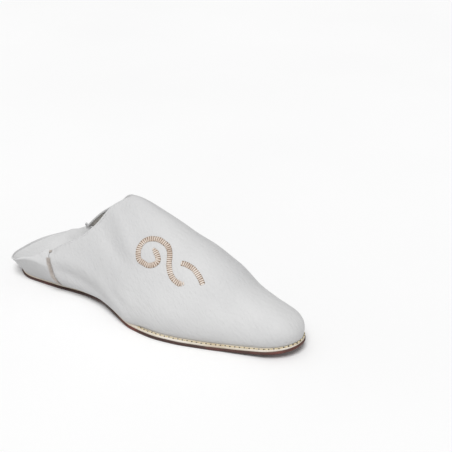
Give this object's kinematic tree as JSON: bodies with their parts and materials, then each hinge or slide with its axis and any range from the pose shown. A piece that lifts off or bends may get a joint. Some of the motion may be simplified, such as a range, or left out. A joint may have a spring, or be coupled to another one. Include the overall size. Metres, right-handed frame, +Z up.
{
  "type": "babouche slipper",
  "caption": "Flat leather babouche slipper with a closed tapered toe, a high instep and a trodden-down back.",
  "frame": {"origin": "middle of the slipper's box, on the floor it stands on", "axes": "+X from heel to toe, +Y to the inner side of the foot, +Z up"},
  "size_m": [0.2758, 0.0862, 0.092],
  "materials": {
    "outsole_leather": "dark brown sole leather, waxed cut edge",
    "midsole_leather": "pale veg-tanned leather, smooth edge",
    "insole_leather": "natural lining leather, matt",
    "upper_leather": "soft white sheepskin with a fine grain, satin",
    "counter_leather": "soft white sheepskin with a fine grain, satin",
    "embroidery_thread": "beige silk thread in satin stitch",
    "sole_thread": "waxed yellow sole thread",
    "lining_leather": "natural lining leather, matt"
  },
  "bodies": {
    "root": {"outsole": "outsole_leather", "midsole": "midsole_leather", "insole": "insole_leather", "upper": "upper_leather", "heel_counter": "counter_leather"}
  },
  "joints": []
}
